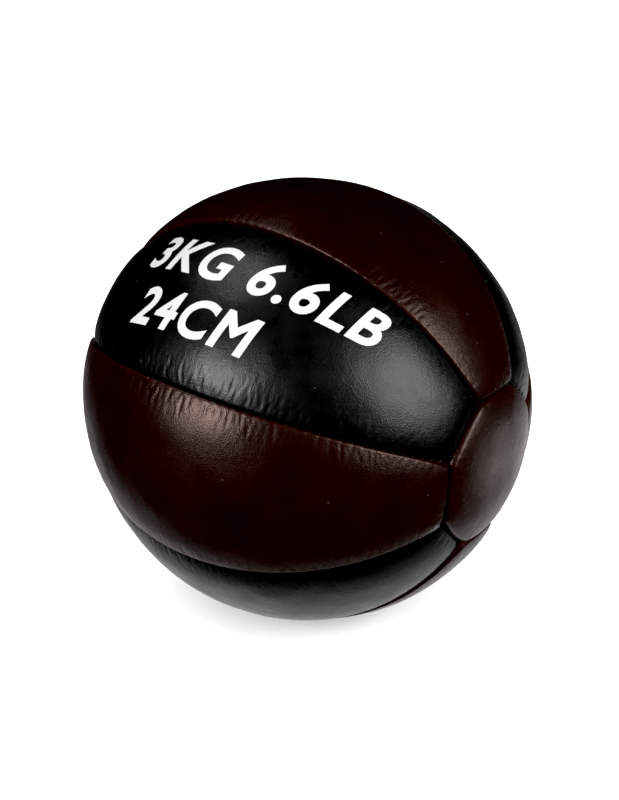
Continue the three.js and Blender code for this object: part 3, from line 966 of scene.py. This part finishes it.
BLACK_LEATHER = leather(
    "black_leather",
    dark=(0.0008, 0.0009, 0.0009, 1),
    light=(0.002, 0.0021, 0.0021, 1),
    worn=(0.003, 0.003, 0.003, 1),
    gloss_tint=(0.85, 0.85, 0.85, 1),
)
BROWN_LEATHER = leather(
    "brown_leather",
    dark=(0.008, 0.0009, 0.0004, 1),
    light=(0.014, 0.0018, 0.0008, 1),
    # worn is the lighter seam-edge colour: rubbed wear plus a painted highlight along the brown edge lip.
    worn=(0.02, 0.004, 0.002, 1),
    gloss_tint=(1, 0.7, 0.62, 1),
)
WHITE_INK = ink("white_print")
WAXED_THREAD = thread("waxed_thread", (0.005, 0.003, 0.002, 1), (0.02, 0.012, 0.008, 1), 0.55)
LINING_CANVAS = cloth("lining_canvas", (0.3, 0.24, 0.15, 1), (0.55, 0.46, 0.32, 1), 0.9 * MM)
BAG_CANVAS = cloth("bag_canvas", (0.2, 0.15, 0.08, 1), (0.45, 0.35, 0.2, 1), 1.3 * MM)
TIE_CORD = thread("tie_cord", (0.45, 0.41, 0.33, 1), (0.72, 0.68, 0.58, 1), 0.7)
PACKED_TEXTILE = flock("packed_textile", (0.13, 0.125, 0.12, 1), (0.42, 0.4, 0.37, 1))
IRON_GRIT = grit("iron_grit")


def finish_inner_nodes():
    """Gives the CAD nodes inside the cover their finish."""
    finishes = {"lining": LINING_CANVAS, "stuffing": PACKED_TEXTILE, "fill": IRON_GRIT, "tie": TIE_CORD}
    for name, node in frame["nodes"].items():
        chosen = next((finish for key, finish in finishes.items() if key in name), None)
        if name == "weight_bag":
            chosen = BAG_CANVAS
        if chosen:
            for material_slot in node.material_slots:
                material_slot.material = chosen


# ---- Building the ball ----

def dress(piece, material, slot, *nodes):
    """Gives a piece its material and hides the CAD nodes that the piece stands for; slot is not used."""
    piece.data.materials.append(material)
    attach(piece, "root")
    if nodes:
        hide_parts(*nodes)


def build_cover():
    """The ten panels, by the CAD nodes they replace."""
    panels = {}
    for number in range(1, GORE_COUNT + 1):
        colour, material, edge = "black", BLACK_LEATHER, BLACK_EDGE
        if number % 2 == 0:
            colour, material, edge = "brown", BROWN_LEATHER, BROWN_EDGE
        node = f"{colour}_gore_{(number + 1) // 2}"
        panels[node] = gore(f"{node}_leather", number, edge)
        dress(panels[node], material, f"{colour}_leather", node)
    for side, end in (("right", 1), ("left", -1)):
        node = f"end_cap_{side}"
        panels[node] = end_cap(f"{node}_leather", end)
        dress(panels[node], BROWN_LEATHER, "brown_leather", node)
    return panels


def build_stitches():
    threads = {}
    for number in range(1, GORE_COUNT + 1):
        node = f"gore_seam_thread_{number}"
        threads[node] = gore_stitches(f"{node}_stitches", number)
    right = cap_stitches("cap_seam_right_stitches", 1, 0, GORE_COUNT, **FINE_STITCH)
    sewn = GORE_COUNT - CLOSING_SIDES
    left = cap_stitches("cap_seam_left_stitches", -1, 0, sewn, **FINE_STITCH)
    closing = cap_stitches("closing_stitches", -1, sewn, CLOSING_SIDES, **COARSE_STITCH)
    threads.update(cap_seam_thread_right=right, cap_seam_thread_left=left, closing_stitch=closing)
    for node, piece in threads.items():
        dress(piece, WAXED_THREAD, "waxed_thread", node)


panels = build_cover()
build_stitches()
dress(printed_weight("printed_weight", panels["black_gore_1"]), WHITE_INK, "white_print")
finish_inner_nodes()


# ---- Floor, light and camera ----

CAMERA_AZIMUTH = math.radians(35.53)
CAMERA_ELEVATION = math.radians(31.25)
CAMERA_RADII = 6.48  # the camera's distance, in ball radii
CAMERA_LENS = 64.1
CAMERA_SHIFT = (0.002, -0.0036)
CAMERA_SENSOR = 36
# Each soft box: its direction from the ball, its width and height, and its power in watts.
SOFT_BOXES = {
    "right_box": ((0.86, 0.0, 0.46), (0.8, 0.8), 15),
    "left_box": ((-0.24, -0.88, 0.38), (0.36, 0.55), 10.8),
    "top_box": ((-0.45, -0.1, 0.88), (0.4, 0.3), 2.5),
    "rim_box": ((0.2, 0.84, -0.47), (0.4, 0.3), 0.3),
    "cap_box": ((0.66, 0.62, -0.4), (0.45, 0.4), 1),
    "back_box": ((-0.55, 0.65, 0.5), (0.8, 0.6), 14),
}
LIGHT_DISTANCE = 1.2
FLOOR_LIGHT, FLOOR_LIGHT_ANGLE = 6.5, math.radians(150)
FLOOR_REACH = 12.0
BACK_PANELS = ("brown_gore_2", "black_gore_3", "brown_gore_3", "black_gore_4", "end_cap_left")
BLACK_LEVEL = 0.004
ROOM_DIM, ROOM_GLOW = 0.006, 0.8
GLOW_TOWARDS = (-0.23, 0.43, -0.87)
GLOW_STARTS, GLOW_FULL = 0.68, 0.88  # as the cosine of the angle from that direction
BALL_RADIUS = MEAN_RADIUS + 1.2 * MM


def floor():
    """The pale floor. It casts no shadow and isn't seen in the ball's reflections."""
    mesh = bpy.data.meshes.new("floor")
    signs = [(-1, -1), (1, -1), (1, 1), (-1, 1)]
    mesh.from_pydata([(x * FLOOR_REACH, y * FLOOR_REACH, REST_Z) for x, y in signs], [], [(0, 1, 2, 3)])
    piece = add_object("floor", mesh)
    shader = Shader("pale_floor")
    tone = shader.ramp(shader.noise(0.6, detail=2), 0.3, 0.7)
    colour = shader.mix(tone, (0.8, 0.8, 0.8, 1), (0.83, 0.83, 0.83, 1))
    shader.set("Base Color", colour)
    shader.set("Roughness", 0.85)
    shader.set("Specular IOR Level", 0.1)
    mesh.materials.append(shader.material)
    piece.visible_glossy = False
    piece.visible_shadow = False
    piece.visible_diffuse = False
    return piece


def aim(thing, target):
    towards = Vector(target) - thing.location
    thing.rotation_mode = "QUATERNION"
    thing.rotation_quaternion = towards.to_track_quat("-Z", "Y")


def soft_box(name, towards, size, power):
    """A square light panel, placed in a direction from the ball's centre and turned to face it."""
    data = bpy.data.lights.new(name, "AREA")
    data.shape = "RECTANGLE"
    data.size, data.size_y = size
    data.energy = power
    lamp = add_object(name, data)
    lamp.location = Vector(towards).normalized() * LIGHT_DISTANCE
    aim(lamp, (0, 0, 0))
    return lamp


def room():
    """A dim room that glows below and behind the ball, with a white backdrop for the camera."""
    world = bpy.data.worlds.new("room")
    bpy.context.scene.world = world
    world.use_nodes = True
    tree = world.node_tree
    tree.nodes.clear()
    output = tree.nodes.new("ShaderNodeOutputWorld")
    mixed = tree.nodes.new("ShaderNodeMixShader")
    dim = tree.nodes.new("ShaderNodeBackground")
    backdrop = tree.nodes.new("ShaderNodeBackground")
    place = tree.nodes.new("ShaderNodeTexCoord")
    towards = tree.nodes.new("ShaderNodeVectorMath")
    shade = tree.nodes.new("ShaderNodeMapRange")
    rays = tree.nodes.new("ShaderNodeLightPath")
    ranges = {"From Min": GLOW_STARTS, "From Max": GLOW_FULL, "To Min": ROOM_DIM, "To Max": ROOM_GLOW}
    for socket, value in ranges.items():
        shade.inputs[socket].default_value = value
    towards.operation = "DOT_PRODUCT"
    towards.inputs[1].default_value = Vector(GLOW_TOWARDS).normalized()
    for start, end in (
        (place.outputs["Generated"], towards.inputs[0]),
        (towards.outputs["Value"], shade.inputs["Value"]),
        (shade.outputs["Result"], dim.inputs["Strength"]),
        (rays.outputs["Is Camera Ray"], mixed.inputs[0]),
        (dim.outputs[0], mixed.inputs[1]),
        (backdrop.outputs[0], mixed.inputs[2]),
        (mixed.outputs[0], output.inputs["Surface"]),
    ):
        tree.links.new(start, end)
    for background in (dim, backdrop):
        background.inputs["Color"].default_value = (1, 1, 1, 1)


def light_only(lamp, things):
    """Keeps a lamp's light on these objects alone."""
    lit = bpy.data.collections.new(f"lit_by_{lamp.name}")
    for thing in things:
        lit.objects.link(thing)
    lamp.light_linking.receiver_collection = lit


def lights(ground):
    boxes = {name: soft_box(name, *about) for name, about in SOFT_BOXES.items()}
    light_only(boxes["cap_box"], [panels["end_cap_right"]])
    light_only(boxes["back_box"], [panels[node] for node in BACK_PANELS])
    data = bpy.data.lights.new("floor_light", "SUN")
    data.energy = FLOOR_LIGHT
    data.angle = FLOOR_LIGHT_ANGLE
    lamp = add_object("floor_light", data)
    lamp.location = (0, 0, 2)
    light_only(lamp, [ground])
    room()


def camera():
    data = bpy.data.cameras.new("camera")
    data.sensor_width = CAMERA_SENSOR
    data.lens = CAMERA_LENS
    data.shift_x, data.shift_y = CAMERA_SHIFT
    view = add_object("camera", data)
    distance = CAMERA_RADII * BALL_RADIUS
    level = distance * math.cos(CAMERA_ELEVATION)
    view.location.x = level * math.sin(CAMERA_AZIMUTH)
    view.location.y = -level * math.cos(CAMERA_AZIMUTH)
    view.location.z = distance * math.sin(CAMERA_ELEVATION)
    aim(view, (0, 0, 0))
    bpy.context.scene.camera = view


def develop():
    """Plain colours, with the blacks set a little deeper."""
    settings = bpy.context.scene.view_settings
    settings.view_transform = "Standard"
    settings.use_curve_mapping = True
    settings.curve_mapping.black_level = (BLACK_LEVEL, BLACK_LEVEL, BLACK_LEVEL)
    settings.curve_mapping.update()


lights(floor())
camera()
develop()
